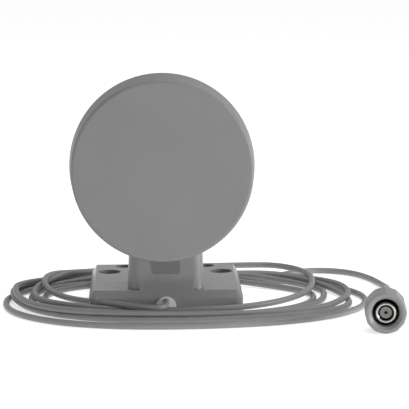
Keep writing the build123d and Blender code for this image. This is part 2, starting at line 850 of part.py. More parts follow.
def plug_body():
    shoulder = thread_l + plug_seal_t
    body = turned(
        (sleeve_bore_r, sleeve_recess),
        (sleeve_r, sleeve_recess),
        (sleeve_r, shoulder),
        (collar_r, shoulder),
        (collar_r, nut_l),
        (sleeve_bore_r, nut_l),
    )
    hexagon = extrude(RegularPolygon(body_flats / 2, 6, major_radius=False), body_l - nut_l - body_tail_l)
    body += Pos(0, 0, nut_l + body_neck_l) * hexagon
    body += rod(body_neck_r, nut_l, nut_l + 2 * body_neck_l)
    body += rod(body_tail_r, body_l - body_tail_l, body_l)
    body -= ring(retainer_r + 1, retainer_r - retainer_depth, retainer_at, retainer_at + retainer_t)
    body -= rod(insulator_r, shoulder, nut_l + insulator_end)
    return plug_frame * (body - rod(lead_r, 0, body_l + 1))


def plug_insulator():
    core = rod(insulator_r, insulator_recess, nut_l + insulator_end)
    return plug_frame * (core - rod(contact_r, 0, body_l))


def plug_contact():
    pin = rod(contact_r, insulator_recess, nut_l + insulator_end)
    return plug_frame * (pin - rod(contact_bore_r, 0, contact_bore_l))


def nut_retainer():
    snap = ring(retainer_r, retainer_r - retainer_depth, retainer_at, retainer_at + retainer_t)
    return plug_frame * (snap - block(-retainer_split, retainer_split, 0, nut_r, 0, body_l))


def crimp_ferrule():
    return plug_frame * ring(ferrule_r, lead_r, body_l, body_l + ferrule_l)


def lead_boot():
    end = body_l + ferrule_l
    boot = turned(
        (ferrule_r, boot_start),
        (ferrule_r + boot_wall, boot_start),
        (ferrule_r + boot_wall, end),
        (lead_r + boot_wall, end + boot_taper_l),
        (lead_r + boot_wall, boot_end),
        (lead_r, boot_end),
        (lead_r, end),
        (ferrule_r, end),
    )
    return plug_frame * boot


def plug_lead():
    """The lead's last stretch, inside the ferrule and the boot."""
    return plug_frame * rod(lead_r, nut_l + insulator_end, boot_end)


def main():
    os.makedirs("parts", exist_ok=True)
    coil = cord_coil()
    pieces = {
        "base_housing": beside * base_housing(),
        "blank_badge": beside * blank_badge(),
        "neck_cover": beside * neck_cover(),
        "neck_cover_screws": beside * neck_cover_screws(),
        "bottom_plate": beside * bottom_plate(),
        "plate_screws": beside * plate_screws(),
        "feet": beside * feet(),
        "cable_grommet": beside * cable_grommet(),
        "cable_clamp": beside * cable_clamp(),
        "clamp_screws": beside * clamp_screws(),
        "neck_lead": beside * neck_lead(),
        "hinge_bush": beside * hinge_bush(),
        "pivot_cap": beside * pivot_cap(),
        "tilt_bolt": beside * tilt_bolt(),
        "tilt_nut": beside * tilt_nut(),
        "spring_washer": beside * spring_washer(),
        "friction_washer": beside * friction_washer(),
        "radome": radome(),
        "cover_seal": cover_seal(),
        "rear_cover": rear_cover(),
        "cover_screws": cover_screws(),
        "ground_plane": ground_plane(),
        "patch_element": patch_element(),
        "director_element": director_element(),
        "patch_spacers": spacers(patch_depth + patch_t, ground_depth),
        "director_spacers": spacers(director_depth + patch_t, patch_depth),
        "element_screws": element_screws(),
        "feed_pin": feed_pin(),
        "lead_ferrule": lead_ferrule(),
        "head_lead": beside * head_lead(),
        "cord_exit": beside * cord_exit(),
        "cord_coil": coil,
        "cord_tail": cord_tail(coil),
        "coupling_nut": coupling_nut(),
        "plug_gasket": plug_gasket(),
        "plug_body": plug_body(),
        "plug_insulator": plug_insulator(),
        "plug_contact": plug_contact(),
        "nut_retainer": nut_retainer(),
        "crimp_ferrule": crimp_ferrule(),
        "lead_boot": lead_boot(),
        "plug_lead": plug_lead(),
    }
    for name, piece in pieces.items():
        export_step(group([piece]), f"parts/{name}.step")


main()
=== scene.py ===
"""Directional patch antenna on a table stand, with its coiled coax lead and threaded plug.

Metres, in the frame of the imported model: +Z up, -Y the way the antenna faces.
"""
import json
import math

import bpy
from mathutils import Matrix, Vector


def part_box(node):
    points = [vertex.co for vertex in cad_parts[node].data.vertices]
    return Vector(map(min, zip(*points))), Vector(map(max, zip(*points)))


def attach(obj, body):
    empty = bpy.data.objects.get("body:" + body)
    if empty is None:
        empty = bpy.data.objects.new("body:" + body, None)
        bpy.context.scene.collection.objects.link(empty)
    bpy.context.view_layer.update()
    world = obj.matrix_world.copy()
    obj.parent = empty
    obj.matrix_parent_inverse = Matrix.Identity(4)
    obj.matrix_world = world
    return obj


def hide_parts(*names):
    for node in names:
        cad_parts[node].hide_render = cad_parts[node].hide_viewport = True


bl_info = {
    "name": "Table Patch Antenna",
    "version": (1, 0, 0),
    "blender": (4, 5, 0),
    "location": "3D View > Sidebar > Antenna",
    "description": "Finishes, free lead and studio for a small directional antenna",
    "category": "Object",
}

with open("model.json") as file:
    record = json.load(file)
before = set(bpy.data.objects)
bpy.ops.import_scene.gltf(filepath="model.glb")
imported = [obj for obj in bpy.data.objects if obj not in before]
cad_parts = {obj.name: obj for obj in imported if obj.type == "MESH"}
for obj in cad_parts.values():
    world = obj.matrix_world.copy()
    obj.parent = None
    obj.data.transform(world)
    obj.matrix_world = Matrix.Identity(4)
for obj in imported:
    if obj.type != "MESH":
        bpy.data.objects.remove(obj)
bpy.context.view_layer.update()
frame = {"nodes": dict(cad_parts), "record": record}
MM = 0.001


def joint(name):
    """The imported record's joint of that name."""
    return next(j for j in frame["record"]["behaviour"]["joints"] if j["name"] == name)


PLUG_FRONT = Vector(joint("coupling_nut_spin")["pos_m"])
PLUG_FORWARD = Vector(joint("coupling_nut_spin")["axis"]).normalized()
PLUG_REAR = -PLUG_FORWARD
LIP_BACK = 1.2  # mm behind the nut's front, where the lip meets the sleeve
LIP_ROUND = 0.36  # mm that it stands forward of there
LIP_RADIUS = 3.52  # mm, to the middle of its thickness
LIP_HALF = 0.47  # mm, half of its thickness
LIP_STEPS = 12
LIP_SEGMENTS = 72
THREAD_START = 0.0016  # metres behind the nut's front
THREAD_FLANK = 0.46  # half a ridge's foot, in pitches
THREAD_CREST = 0.16  # the crest's share of the foot
THREAD_STEPS = 60  # points in one turn
DRUM_LOW, DRUM_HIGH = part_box("radome")
GROMMET_LOW, GROMMET_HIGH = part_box("cable_grommet")


# ---- Settings ----
class StageSettings(bpy.types.PropertyGroup):
    camera_place: bpy.props.FloatVectorProperty(
        name="Camera place", description="Where the camera stands", subtype="XYZ", unit="LENGTH",
        default=(-0.00591, -0.8875, 0.18135), precision=5)
    camera_pitch: bpy.props.FloatProperty(
        name="Pitch", description="How far the camera looks down", subtype="ANGLE",
        default=math.radians(8.93))
    camera_yaw: bpy.props.FloatProperty(
        name="Yaw", description="Turn about the vertical", subtype="ANGLE", default=math.radians(-1.51))
    camera_roll: bpy.props.FloatProperty(
        name="Roll", description="Turn about the line of sight", subtype="ANGLE", default=math.radians(-0.24))
    lens: bpy.props.FloatProperty(
        name="Lens", description="Focal length in millimetres on a 36 mm sensor", default=192.5)
    floor_size: bpy.props.FloatProperty(
        name="Floor size", description="Side of the square floor", unit="LENGTH", default=6.0)
    floor_colour: bpy.props.FloatVectorProperty(
        name="Floor colour", description="Pale floor", subtype="COLOR", size=4,
        default=(0.94, 0.94, 0.94, 1.0))
    key_power: bpy.props.FloatProperty(
        name="Key light", description="Watts of the large light at the right", default=4.0)
    fill_power: bpy.props.FloatProperty(
        name="Fill light", description="Watts of the low light at the right front", default=0.16)
    top_power: bpy.props.FloatProperty(
        name="Top light", description="Watts of the light overhead", default=2.4)
    sky_strength: bpy.props.FloatProperty(
        name="Sky", description="Strength of the even surrounding light", default=0.5)


class PlasticSettings(bpy.types.PropertyGroup):
    stand_colour: bpy.props.FloatVectorProperty(
        name="Stand", description="Grey of the base and neck", subtype="COLOR", size=4,
        default=(0.21, 0.21, 0.212, 1.0))
    drum_colour: bpy.props.FloatVectorProperty(
        name="Drum", description="Grey of the drum", subtype="COLOR", size=4, default=(0.2, 0.2, 0.201, 1.0))
    badge_colour: bpy.props.FloatVectorProperty(
        name="Blank plate", description="Grey of the small plate on the neck", subtype="COLOR", size=4,
        default=(0.15, 0.15, 0.155, 1.0))
    # Pale grommet: its light grey is painted light, standing in for the white seen through the notch in the
    # base.
    grommet_painted_light_colour: bpy.props.FloatVectorProperty(
        name="Grommet", description="Pale bush round the lead", subtype="COLOR", size=4,
        default=(0.62, 0.62, 0.6, 1.0))
    grain_size: bpy.props.FloatProperty(
        name="Grain", description="Width of the moulded grain", unit="LENGTH", default=0.00045, precision=5)
    wear: bpy.props.FloatProperty(
        name="Edge wear", description="How much the edges are polished", subtype="FACTOR", default=0.35)


class LeadSettings(bpy.types.PropertyGroup):
    diameter: bpy.props.FloatProperty(
        name="Diameter", description="Outside diameter of the lead", unit="LENGTH", default=0.0026,
        precision=5)
    length: bpy.props.FloatProperty(
        name="Length", description="Length of the free lead", unit="LENGTH", default=2.44)
    jacket_colour: bpy.props.FloatVectorProperty(
        name="Jacket", description="Grey of the lead's jacket", subtype="COLOR", size=4,
        default=(0.235, 0.235, 0.237, 1.0))
    boot_colour: bpy.props.FloatVectorProperty(
        name="Sleeve", description="Colour of the shrunk sleeve", subtype="COLOR", size=4,
        default=(0.2, 0.2, 0.205, 1.0))


class PlugSettings(bpy.types.PropertyGroup):
    nut_colour: bpy.props.FloatVectorProperty(
        name="Nut", description="Grey of the coupling nut", subtype="COLOR", size=4,
        default=(0.24, 0.24, 0.243, 1.0))
    thread_pitch: bpy.props.FloatProperty(
        name="Thread pitch", description="Advance of the thread for one turn", unit="LENGTH",
        default=0.000907, precision=6)
    thread_radius: bpy.props.FloatProperty(
        name="Thread radius", description="Bore that the thread stands in", unit="LENGTH",
        default=0.00555, precision=5)
    thread_depth: bpy.props.FloatProperty(
        name="Thread depth", description="How far the ridge stands into the bore", unit="LENGTH",
        default=0.00042, precision=6)
    thread_turns: bpy.props.IntProperty(
        name="Thread turns", description="Full turns of the ridge", default=6)


# ---- Finishes ----
def new_material(name):
    """An empty node material with its shader joined to the output."""
    material = bpy.data.materials.new(name)
    material.use_nodes = True
    tree = material.node_tree
    tree.nodes.clear()
    shader = tree.nodes.new("ShaderNodeBsdfPrincipled")
    output = tree.nodes.new("ShaderNodeOutputMaterial")
    tree.links.new(shader.outputs["BSDF"], output.inputs["Surface"])
    return material, tree, shader


def place_coordinates(tree, stretch=(1.0, 1.0, 1.0)):
    """Object coordinates, stretched along an axis for drawn or turned surfaces."""
    coordinates = tree.nodes.new("ShaderNodeTexCoord")
    mapping = tree.nodes.new("ShaderNodeMapping")
    mapping.inputs["Scale"].default_value = stretch
    tree.links.new(coordinates.outputs["Object"], mapping.inputs["Vector"])
    return mapping.outputs["Vector"]


def noise(tree, vector, width, detail=4.0, rough=0.55):
    """Noise whose blobs are about that many metres wide."""
    node = tree.nodes.new("ShaderNodeTexNoise")
    node.inputs["Scale"].default_value = 1.0 / width
    node.inputs["Detail"].default_value = detail
    node.inputs["Roughness"].default_value = rough
    tree.links.new(vector, node.inputs["Vector"])
    return node.outputs["Fac"]


def remap(tree, value, low, high, start=0.25, end=0.75):
    """Spread a value's middle range over low to high."""
    node = tree.nodes.new("ShaderNodeMapRange")
    node.inputs["From Min"].default_value = start
    node.inputs["From Max"].default_value = end
    node.inputs["To Min"].default_value = low
    node.inputs["To Max"].default_value = high
    tree.links.new(value, node.inputs["Value"])
    return node.outputs["Result"]


def tint(tree, colour, amount):
    """A colour made lighter or darker by a varying amount round 1."""
    node = tree.nodes.new("ShaderNodeVectorMath")
    node.operation = "SCALE"
    node.inputs[0].default_value = tuple(colour)[:3]
    tree.links.new(amount, node.inputs["Scale"])
    return node.outputs["Vector"]


def mix_values(tree, operation, first, second):
    node = tree.nodes.new("ShaderNodeMath")
    node.operation = operation
    for socket, value in zip(node.inputs, (first, second)):
        if isinstance(value, (int, float)):
            socket.default_value = value
        else:
            tree.links.new(value, socket)
    return node.outputs["Value"]


def edge_mask(tree, width):
    """1 on sharp outer edges that hands and boxes rub, 0 on flats."""
    bevel = tree.nodes.new("ShaderNodeBevel")
    bevel.samples = 6
    bevel.inputs["Radius"].default_value = width
    geometry = tree.nodes.new("ShaderNodeNewGeometry")
    dot = tree.nodes.new("ShaderNodeVectorMath")
    dot.operation = "DOT_PRODUCT"
    tree.links.new(bevel.outputs["Normal"], dot.inputs[0])
    tree.links.new(geometry.outputs["Normal"], dot.inputs[1])
    return remap(tree, dot.outputs["Value"], 1.0, 0.0, 0.86, 0.995)


def relief(tree, shader, layers):
    """Bump layers of (height, strength, depth), one over the other."""
    below = None
    for height, strength, depth in layers:
        bump = tree.nodes.new("ShaderNodeBump")
        bump.inputs["Strength"].default_value = strength
        bump.inputs["Distance"].default_value = depth
        tree.links.new(height, bump.inputs["Height"])
        if below is not None:
            tree.links.new(below, bump.inputs["Normal"])
        below = bump.outputs["Normal"]
    tree.links.new(below, shader.inputs["Normal"])


def moulded_plastic(name, colour, roughness, grain, wear, specular=0.4, shade=0.05, coat=0.0):
    """Fine-grained moulded plastic: cloudy colour, spark-eroded grain, polished edges."""
    material, tree, shader = new_material(name)
    vector = place_coordinates(tree)
    cloud = noise(tree, vector, 0.028, 3.0)
    fleck = noise(tree, vector, 0.0012, 5.0, 0.7)
    edges = edge_mask(tree, 0.0005)
    varied = mix_values(tree, "MULTIPLY", remap(tree, cloud, 1 - shade, 1 + shade),
                        remap(tree, fleck, 0.97, 1.03))
    lifted = mix_values(tree, "MULTIPLY_ADD", edges, 0.5 * wear)
    lifted.node.inputs[2].default_value = 1.0
    tree.links.new(tint(tree, colour, mix_values(tree, "MULTIPLY", varied, lifted)),
                   shader.inputs["Base Color"])
    scuffed = remap(tree, noise(tree, vector, 0.011, 6.0, 0.65), roughness - 0.05, roughness + 0.06)
    tree.links.new(mix_values(tree, "SUBTRACT", scuffed, mix_values(tree, "MULTIPLY", edges, 0.25 * wear)),
                   shader.inputs["Roughness"])
    shader.inputs["Specular IOR Level"].default_value = specular
    shader.inputs["Coat Weight"].default_value = coat
    shader.inputs["Coat Roughness"].default_value = 0.22
    relief(tree, shader, [
        (noise(tree, vector, 0.045, 2.0), 0.25, 0.00012),
        (noise(tree, vector, grain, 3.0, 0.6), 0.30, 0.00003),
        (noise(tree, vector, grain * 0.35, 2.0), 0.18, 0.000012),
    ])
    return material


def lead_jacket(name, colour):
    """Smooth extruded jacket with faint mottling, scuffs and small dents."""
    material, tree, shader = new_material(name)
    vector = place_coordinates(tree)
    cloud = noise(tree, vector, 0.012, 4.0)
    dust = noise(tree, vector, 0.0008, 6.0, 0.75)
    varied = mix_values(tree, "MULTIPLY", remap(tree, cloud, 0.93, 1.07), remap(tree, dust, 0.96, 1.05))
    tree.links.new(tint(tree, colour, varied), shader.inputs["Base Color"])
    tree.links.new(remap(tree, noise(tree, vector, 0.004, 5.0), 0.34, 0.5), shader.inputs["Roughness"])
    shader.inputs["Specular IOR Level"].default_value = 0.5
    relief(tree, shader, [
        (noise(tree, vector, 0.0045, 2.0), 0.35, 0.00008),
        (noise(tree, vector, 0.00035, 3.0), 0.15, 0.000015),
    ])
    return material


def rubber(name, colour, roughness=0.75):
    """Matt rubber with talc in its pores."""
    material, tree, shader = new_material(name)
    vector = place_coordinates(tree)
    talc = noise(tree, vector, 0.0016, 6.0, 0.8)
    tree.links.new(tint(tree, colour, remap(tree, talc, 0.85, 1.3)), shader.inputs["Base Color"])
    tree.links.new(remap(tree, noise(tree, vector, 0.005, 4.0), roughness - 0.08, roughness + 0.1),
                   shader.inputs["Roughness"])
    shader.inputs["Specular IOR Level"].default_value = 0.3
    relief(tree, shader, [(noise(tree, vector, 0.0005, 5.0, 0.7), 0.35, 0.00004)])
    return material


def metal(name, colour, roughness, brush=(1.0, 1.0, 1.0), grain=0.0009, tarnish=0.12, depth=0.000008):
    """Plated, rolled or turned metal: brushed grain, tarnish in patches, brighter edges."""
    material, tree, shader = new_material(name)
    plain = place_coordinates(tree)
    vector = place_coordinates(tree, brush)
    patches = noise(tree, plain, 0.006, 5.0, 0.6)
    lines = noise(tree, vector, grain, 3.0, 0.6)
    edges = edge_mask(tree, 0.0003)
    varied = mix_values(tree, "MULTIPLY", remap(tree, patches, 1 - tarnish, 1 + tarnish * 0.3),
                        remap(tree, lines, 0.95, 1.05))
    worn = mix_values(tree, "MULTIPLY_ADD", edges, 0.12)
    worn.node.inputs[2].default_value = 1.0
    tree.links.new(tint(tree, colour, mix_values(tree, "MULTIPLY", varied, worn)),
                   shader.inputs["Base Color"])
    shader.inputs["Metallic"].default_value = 1.0
    rough = mix_values(tree, "MULTIPLY", remap(tree, patches, 0.9, 1.2),
                       remap(tree, lines, roughness * 0.85, roughness * 1.2))
    tree.links.new(rough, shader.inputs["Roughness"])
    relief(tree, shader, [(lines, 0.35, depth)])
    return material


def coated_plate(name):
    """Black powder coat on sheet steel: orange peel and a few scratches through to grey."""
    material, tree, shader = new_material(name)
    vector = place_coordinates(tree)
    streaks = place_coordinates(tree, (1.0, 14.0, 1.0))
    scratch = remap(tree, noise(tree, streaks, 0.012, 8.0, 0.8), 0.0, 1.0, 0.68, 0.74)
    amount = mix_values(tree, "MULTIPLY_ADD", scratch, 2.2)
    amount.node.inputs[2].default_value = 1.0
    tree.links.new(tint(tree, (0.022, 0.022, 0.024), amount), shader.inputs["Base Color"])
    tree.links.new(remap(tree, noise(tree, vector, 0.003, 4.0), 0.42, 0.6), shader.inputs["Roughness"])
    shader.inputs["Specular IOR Level"].default_value = 0.5
    relief(tree, shader, [(noise(tree, vector, 0.0007, 2.0), 0.5, 0.00004)])
    return material


def floor_finish(name, colour):
    """Seamless pale paper."""
    material, tree, shader = new_material(name)
    vector = place_coordinates(tree)
    fibre = noise(tree, vector, 0.004, 6.0, 0.7)
    tree.links.new(tint(tree, colour, remap(tree, fibre, 0.985, 1.0)), shader.inputs["Base Color"])
    shader.inputs["Roughness"].default_value = 0.95
    shader.inputs["Specular IOR Level"].default_value = 0.1
    shader.inputs["Emission Color"].default_value = (1.0, 1.0, 1.0, 1.0)
    shader.inputs["Emission Strength"].default_value = 0.5
    relief(tree, shader, [(fibre, 0.1, 0.00005)])
    return material


def dress(nodes, material):
    """Give CAD nodes a finish in the material slots they came with."""
    for name in nodes:
        piece = frame["nodes"][name]
        if not piece.material_slots:
            piece.data.materials.append(material)
        for slot in piece.material_slots:
            slot.material = material


def new_piece(name, vertices, faces, material, body, smooth=True):
    """Mesh piece that rides on a body and takes the given finish."""
    mesh = bpy.data.meshes.new(name)
    mesh.from_pydata([tuple(v) for v in vertices], [], faces)
    mesh.validate()
    mesh.update()
    piece = bpy.data.objects.new(name, mesh)
    bpy.context.scene.collection.objects.link(piece)
    mesh.materials.append(material)
    if smooth:
        mesh.polygons.foreach_set("use_smooth", [True] * len(mesh.polygons))
    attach(piece, body)
    return piece


def turned_rings(outline, place, count, wobble=None):
    """Vertices and faces of an outline of (along, radius) points turned about a line."""
    vertices = []
    for step, (along, radius) in enumerate(outline):
        for index in range(count):
            angle = 2 * math.pi * index / count
            reach = radius if wobble is None else radius + wobble(along, angle, step)
            vertices.append(place @ Vector((reach * math.cos(angle), reach * math.sin(angle), along)))
    faces = []
    for step in range(len(outline) - 1):
        for index in range(count):
            after = (index + 1) % count
            low, high = step * count, (step + 1) * count
            faces.append((low + index, low + after, high + after, high + index))
    return vertices, faces


def along(origin, direction):
    """Frame at a point with its Z along a direction."""
    return Matrix.Translation(origin) @ direction.to_track_quat("Z", "Y").to_matrix().to_4x4()


# ---- Operators ----
class ANTENNA_OT_stage(bpy.types.Operator):
    """Set the camera, the pale floor and the soft studio lights"""
    bl_idname = "antenna.stage"
    bl_label = "Stage"

    def execute(self, context):
        settings = context.scene.antenna_stage
        self.camera(context, settings)
        self.floor(settings)
        self.sky(context, settings)
        middle = Vector((0.01, 0.0, 0.045))
        self.light("key_light", Vector((0.78, -0.3, 0.16)), middle, 0.26, settings.key_power)
        self.light("fill_light", Vector((0.3, -0.4, 0.05)), middle, 0.18, settings.fill_power)
        self.light("top_light", Vector((0.1, 0.2, 0.9)), middle, 0.7, settings.top_power)
        return {"FINISHED"}

    def camera(self, context, settings):
        data = bpy.data.cameras.new("studio_camera")
        data.lens = settings.lens
        data.sensor_width = 36.0
        data.clip_start = 0.05
        data.clip_end = 20.0
        camera = bpy.data.objects.new("studio_camera", data)
        context.scene.collection.objects.link(camera)
        turn = Matrix.Rotation(settings.camera_yaw, 4, "Z") @ Matrix.Rotation(
            math.pi / 2 - settings.camera_pitch, 4, "X") @ Matrix.Rotation(settings.camera_roll, 4, "Z")
        camera.matrix_world = Matrix.Translation(Vector(settings.camera_place)) @ turn
        context.scene.camera = camera

    def floor(self, settings):
        half = settings.floor_size / 2
        steps = 12
        vertices = [(-half + 2 * half * i / steps, -half + 2 * half * j / steps, 0.0)
                    for j in range(steps + 1) for i in range(steps + 1)]
        faces = [(j * (steps + 1) + i, j * (steps + 1) + i + 1, (j + 1) * (steps + 1) + i + 1,
                  (j + 1) * (steps + 1) + i) for j in range(steps) for i in range(steps)]
        mesh = bpy.data.meshes.new("studio_floor")
        mesh.from_pydata(vertices, [], faces)
        floor = bpy.data.objects.new("studio_floor", mesh)
        bpy.context.scene.collection.objects.link(floor)
        mesh.materials.append(floor_finish("pale_paper", settings.floor_colour))

    def sky(self, context, settings):
        world = bpy.data.worlds.new("studio_sky")
        world.use_nodes = True
        background = world.node_tree.nodes["Background"]
        background.inputs["Color"].default_value = (1.0, 1.0, 1.0, 1.0)
        background.inputs["Strength"].default_value = settings.sky_strength
        context.scene.world = world
        context.scene.view_settings.view_transform = "Standard"

    def light(self, name, place, target, size, power):
        data = bpy.data.lights.new(name, "AREA")
        data.shape = "SQUARE"
        data.size = size
        data.energy = power
        lamp = bpy.data.objects.new(name, data)
        bpy.context.scene.collection.objects.link(lamp)
        lamp.matrix_world = Matrix.Translation(place) @ (target - place).to_track_quat("-Z",
                                                                                       "Y").to_matrix().to_4x4()


# Each turn of the coil from the exit on, in millimetres: front Y, left tip, back crown, right tip, then the
# squareness of its front left, back left, back right and front right, and the least height of its front,
# left tip, back and right tip.
TURNS = [
    (-31.2, (-50.3, 26.0), (42.0, 66.0), (64.3, 30.0), (1.8, 2.3, 2.0, 2.4), (4.4, 3.4, 4.2, 4.8)),
    (-26.8, (-53.8, 11.0), (6.0, 56.5), (78.0, 9.0), (2.3, 2.3, 2.2, 2.2), (2.6, 1.3, 1.3, 1.3)),
    (-35.7, (-61.6, 12.0), (6.0, 53.8), (77.5, -3.0), (2.3, 2.2, 2.2, 2.2), (1.3, 1.3, 1.3, 1.3)),
    (-37.2, (-62.9, 15.0), (6.0, 51.2), (84.6, 2.0), (2.1, 2.1, 2.1, 2.2), (1.3, 1.3, 1.3, 1.3)),
    (-49.0, (-65.2, 3.0), (6.0, 48.6), (68.5, 17.0), (2.2, 2.1, 2.0, 2.3), (1.3, 1.3, 1.3, 1.3)),
    (-33.4, (-55.0, 12.0), (2.0, 45.9), (63.5, 10.0), (2.2, 2.2, 1.7, 2.4), (1.3, 1.3, 1.3, 1.3)),
    (-28.9, (-49.5, 9.0), (6.0, 43.4), None, (2.4, 2.3), (1.3, 1.3, 1.3)),
]
FRONT_X = 1.3
POINTS_PER_QUARTER = 6
LEAD_START = [(1.3, -21.9, 5.9), (1.3, -25.3, 5.5), (0.9, -29.0, 5.2), (-3.0, -31.0, 4.8)]
LEAD_END = [(36.0, 44.0, 1.3), (46.0, 50.0, 1.3), (57.0, 61.0, 1.3), (68.0, 68.0, 1.3), (82.5, 62.5, 1.3),
            (90.5, 48.0, 1.4), (95.0, 28.0, 1.4), (94.6, 9.0, 4.2)]


def quarter_turn(centre_x, tip, crown_y, squareness, from_crown, least):
    """Points over a quarter of a turn, between its tip at a side and its front or back crown."""
    power = 2.0 / squareness
    points = []
    for step in range(POINTS_PER_QUARTER):
        share = step / POINTS_PER_QUARTER
        side, crown = math.sin(math.pi / 2 * share), math.cos(math.pi / 2 * share)
        if not from_crown:
            side, crown = crown, side
        points.append((centre_x + (tip[0] - centre_x) * side ** power,
                       tip[1] + (crown_y - tip[1]) * crown ** power,
                       least[0] + (least[1] - least[0]) * share))
    return points


def coil_plan():
    """Plan of all the turns with their least heights, clockwise from the front."""
    points = []
    for index, (front_y, left, back, right, square, least) in enumerate(TURNS):
        points += quarter_turn(FRONT_X, left, front_y, square[0], True, least[0:2])
        points += quarter_turn(back[0], left, back[1], square[1], False, least[1:3])
        if right is None:
            break
        following = TURNS[index + 1]
        points += quarter_turn(back[0], right, back[1], square[2], True, least[2:4])
        points += quarter_turn(FRONT_X, right, following[0], square[3], False, (least[3], following[5][0]))
    return points[1:]


def lay_down(route, diameter):
    """Heights for a route: each stretch lies on the floor or on what was laid under it."""
    heights = [diameter / 2] * len(route)
    for here in range(len(route) - 1, -1, -1):
        spot = Vector(route[here][:2])
        height = max(diameter / 2, route[here][2])
        for other in range(here + 5, len(route)):
            start, end = Vector(route[other - 1][:2]), Vector(route[other][:2])
            run = end - start
            share = max(0.0, min(1.0, (spot - start).dot(run) / max(run.length_squared, 1e-9)))
            gap = (start + run * share - spot).length
            if gap < diameter:
                under = heights[other - 1] + share * (heights[other] - heights[other - 1])
                height = max(height, under + math.sqrt(diameter ** 2 - gap ** 2))
        heights[here] = height
    for _ in range(3):
        eased = heights[:]
        for here in range(1, len(route) - 9):
            eased[here] = max(heights[here], (heights[here - 1] + 2 * heights[here] + heights[here + 1]) / 4)
        heights = eased
    return [(x, y, z) for (x, y, _), z in zip(route, heights)]


def lead_route(diameter):
    """Control points of the whole free lead, in metres."""
    behind = [PLUG_FRONT + PLUG_REAR * distance * MM for distance in (51.0, 34.0)]
    route = LEAD_START + coil_plan() + LEAD_END
    route += [tuple(point / MM) for point in behind]
    return [Vector(point) * MM for point in lay_down(route, diameter / MM)]


class ANTENNA_OT_lead(bpy.types.Operator):
    """Lay the free coax lead in its loose coil and lead it to the plug"""
    bl_idname = "antenna.lead"
    bl_label = "Coax lead"

    def execute(self, context):
        settings = context.scene.antenna_lead
        route = lead_route(settings.diameter)
        curve = bpy.data.curves.new("coax_lead", "CURVE")
        curve.dimensions = "3D"
        spline = curve.splines.new("NURBS")
        spline.points.add(len(route) - 1)
        for point, place in zip(spline.points, route):
            point.co = (place.x, place.y, place.z, 1.0)
        spline.order_u = 3
        spline.use_endpoint_u = True
        spline.resolution_u = 6
        curve.bevel_depth = settings.diameter / 2
        curve.bevel_resolution = 5
        curve.use_fill_caps = True
        lead = bpy.data.objects.new("coax_lead", curve)
        context.scene.collection.objects.link(lead)
        curve.materials.append(lead_jacket("lead_jacket", settings.jacket_colour))
        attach(lead, "base_and_lead")
        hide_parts("cord_exit", "cord_coil", "cord_tail")
        return {"FINISHED"}


class ANTENNA_OT_drum(bpy.types.Operator):
    """Finish the drum, its seal and its screws"""
    bl_idname = "antenna.drum"
    bl_label = "Drum"

    def execute(self, context):
        settings = context.scene.antenna_plastic
        shell = moulded_plastic("drum_plastic", settings.drum_colour, 0.46, settings.grain_size,
                                settings.wear)
        dress(["radome", "rear_cover"], shell)
        dress(["cover_seal"], rubber("seal_rubber", (0.03, 0.03, 0.03)))
        dress(["cover_screws"], metal("zinc_screws", (0.42, 0.42, 0.43), 0.34))
        return {"FINISHED"}


class ANTENNA_OT_stand(bpy.types.Operator):
    """Finish the base, the neck and what is fixed to them"""
    bl_idname = "antenna.stand"
    bl_label = "Stand"

    def execute(self, context):
        settings = context.scene.antenna_plastic
        grain, wear = settings.grain_size, settings.wear
        dress(["base_housing", "neck_cover", "pivot_cap"],
              moulded_plastic("stand_plastic", settings.stand_colour, 0.33, grain, wear, coat=0.5))
        dress(["blank_badge"],
              moulded_plastic("badge_plastic", settings.badge_colour, 0.36, grain * 0.6, wear))
        # The grommet's pale grey is painted light for the bright patch in the notch.
        dress(["cable_grommet"], moulded_plastic("grommet_plastic", settings.grommet_painted_light_colour, 0.5, grain, 0.1))
        dress(["bottom_plate"], coated_plate("coated_plate"))
        dress(["plate_screws", "neck_cover_screws", "clamp_screws"],
              metal("steel_screws", (0.55, 0.55, 0.57), 0.3))
        dress(["feet"], rubber("foot_rubber", (0.02, 0.02, 0.021)))
        dress(["cable_clamp"], moulded_plastic("clamp_nylon", (0.7, 0.7, 0.66, 1.0), 0.42, grain, 0.1))
        dress(["neck_lead"], lead_jacket("inner_lead_jacket", context.scene.antenna_lead.jacket_colour))
        return {"FINISHED"}


class ANTENNA_OT_hinge(bpy.types.Operator):
    """Finish the hinge's bolt, nut, bush and washers"""
    bl_idname = "antenna.hinge"
    bl_label = "Hinge"

    def execute(self, context):
        dress(["tilt_bolt", "tilt_nut", "spring_washer"],
              metal("hinge_steel", (0.5, 0.5, 0.52), 0.28, (1.0, 12.0, 12.0)))
        dress(["hinge_bush", "friction_washer"],
              moulded_plastic("bearing_nylon", (0.72, 0.71, 0.67, 1.0), 0.38, 0.0006, 0.1))
        return {"FINISHED"}


class ANTENNA_OT_elements(bpy.types.Operator):
    """Finish the radiating plates and their fixings inside the drum"""
    bl_idname = "antenna.elements"
    bl_label = "Elements"

    def execute(self, context):
        dress(["ground_plane"], metal("rolled_aluminium", (0.78, 0.78, 0.8), 0.3, (1.0, 1.0, 20.0)))
        dress(["patch_element", "director_element", "feed_pin"],
              metal("rolled_brass", (0.75, 0.58, 0.28), 0.27, (20.0, 1.0, 1.0), tarnish=0.2))
        dress(["patch_spacers", "director_spacers", "element_screws"],
              moulded_plastic("spacer_nylon", (0.74, 0.73, 0.7, 1.0), 0.4, 0.0006, 0.1))
        dress(["lead_ferrule"], metal("ferrule_nickel", (0.7, 0.68, 0.64), 0.25))
        dress(["head_lead"], lead_jacket("head_lead_jacket", context.scene.antenna_lead.jacket_colour))
        return {"FINISHED"}


